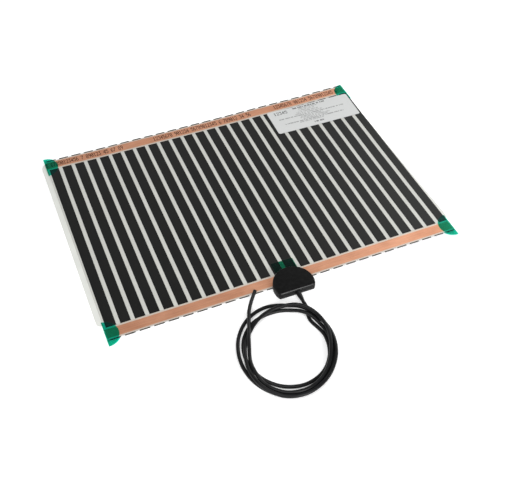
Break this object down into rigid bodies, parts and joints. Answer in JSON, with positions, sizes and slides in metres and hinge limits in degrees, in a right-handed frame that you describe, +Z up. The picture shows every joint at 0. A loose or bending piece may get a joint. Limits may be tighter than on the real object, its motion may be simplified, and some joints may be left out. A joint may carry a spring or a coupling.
{
  "type": "mirror heating mat",
  "caption": "Thin printed heating foil with carbon bars between copper strips, a half-round connector housing on one long edge and a coiled supply lead.",
  "frame": {"origin": "middle of the foil in plan, on the underside of the release liner that covers the adhesive back", "axes": "+X along the mat to the right, +Y across it to the edge away from the connector, +Z up out of its face"},
  "size_m": [0.5879, 0.6035, 0.0122],
  "materials": {
    "liner_paper": "white siliconised release paper",
    "adhesive": "clear pressure-sensitive adhesive",
    "clear_film": "clear polyester film",
    "carbon_ink": "printed carbon resistance ink",
    "silver_ink": "printed silver bus bar",
    "copper_foil": "matt copper foil strip",
    "green_tape": "translucent green polyester insulating tape",
    "label_paper": "white paper label",
    "housing_plastic": "matt black moulded plastic",
    "lead_sheath": "satin black cable sheath"
  },
  "bodies": {
    "root": {"release_liner": "liner_paper", "adhesive_sheet": "adhesive", "base_film": "clear_film", "cover_film": "clear_film", "carbon_bar_01": "carbon_ink", "carbon_bar_02": "carbon_ink", "carbon_bar_03": "carbon_ink", "carbon_bar_04": "carbon_ink", "carbon_bar_05": "carbon_ink", "carbon_bar_06": "carbon_ink", "carbon_bar_07": "carbon_ink", "carbon_bar_08": "carbon_ink", "carbon_bar_09": "carbon_ink", "carbon_bar_10": "carbon_ink", "carbon_bar_11": "carbon_ink", "carbon_bar_12": "carbon_ink", "carbon_bar_13": "carbon_ink", "carbon_bar_14": "carbon_ink", "carbon_bar_15": "carbon_ink", "carbon_bar_16": "carbon_ink", "carbon_bar_17": "carbon_ink", "carbon_bar_18": "carbon_ink", "carbon_bar_19": "carbon_ink", "carbon_bar_20": "carbon_ink", "carbon_bar_21": "carbon_ink", "carbon_bar_22": "carbon_ink", "carbon_bar_23": "carbon_ink", "carbon_bar_24": "carbon_ink", "carbon_bar_25": "carbon_ink", "carbon_bar_26": "carbon_ink", "bus_print_back": "silver_ink", "bus_print_front_left": "silver_ink", "bus_print_front_right": "silver_ink", "copper_strip_back": "copper_foil", "copper_strip_front_left": "copper_foil", "copper_strip_front_right": "copper_foil", "corner_tape_front_left": "green_tape", "corner_tape_front_right": "green_tape", "corner_tape_back_left": "green_tape", "corner_tape_back_right": "green_tape", "insulating_patch": "green_tape", "label": "label_paper", "connector_base": "housing_plastic", "connector_cover": "housing_plastic", "strain_relief": "lead_sheath", "lead_exit": "lead_sheath", "lead_coil": "lead_sheath", "lead_end": "lead_sheath"}
  },
  "joints": []
}
